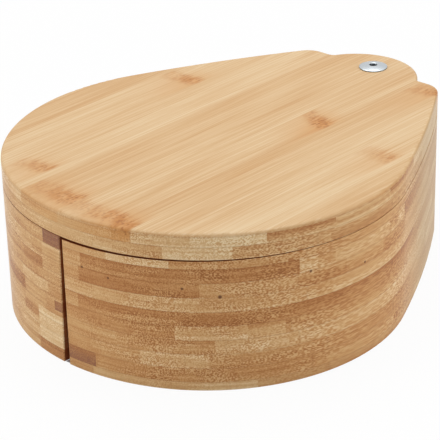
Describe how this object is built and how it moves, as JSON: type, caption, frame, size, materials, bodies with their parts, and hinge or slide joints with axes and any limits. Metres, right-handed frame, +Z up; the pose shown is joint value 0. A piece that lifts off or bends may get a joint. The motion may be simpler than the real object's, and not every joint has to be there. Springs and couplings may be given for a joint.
{
  "type": "swivel spice box",
  "caption": "Teardrop laminated bamboo keeper: side-by-side half bins and a full lid swing on one upright bolt at the narrow end.",
  "frame": {"origin": "middle of the footprint, on the surface that the box stands on", "axes": "+X along the box's length, from the round end to the pivot bolt; +Y to the left bin; +Z up through the lid"},
  "size_m": [0.18, 0.1478, 0.06],
  "materials": {
    "bamboo_bin": "sanded laminated bamboo, oiled",
    "bamboo_floor": "sanded bamboo panel, oiled",
    "bamboo_lid": "sanded laminated bamboo, oiled",
    "plated_steel": "bright zinc or nickel plate",
    "brass_insert": "turned",
    "nylon_washer": "moulded"
  },
  "bodies": {
    "right_body": {"right_bin": "bamboo_bin", "right_floor": "bamboo_floor", "pivot_bolt": "plated_steel", "thread_insert": "brass_insert", "lap_washer": "nylon_washer", "lid_washer": "nylon_washer"},
    "left_body": {"left_bin": "bamboo_bin", "left_floor": "bamboo_floor"},
    "lid_body": {"lid": "bamboo_lid"}
  },
  "joints": [
    {"name": "left_bin_swing", "type": "hinge", "parent": "right_body", "child": "left_body", "pos_m": [0.077, 0, 0.03], "axis": [0, 0, -1], "range_deg": [0, 170]},
    {"name": "lid_swing", "type": "hinge", "parent": "right_body", "child": "lid_body", "pos_m": [0.077, 0, 0.054], "axis": [0, 0, 1], "range_deg": [-180, 180]}
  ]
}
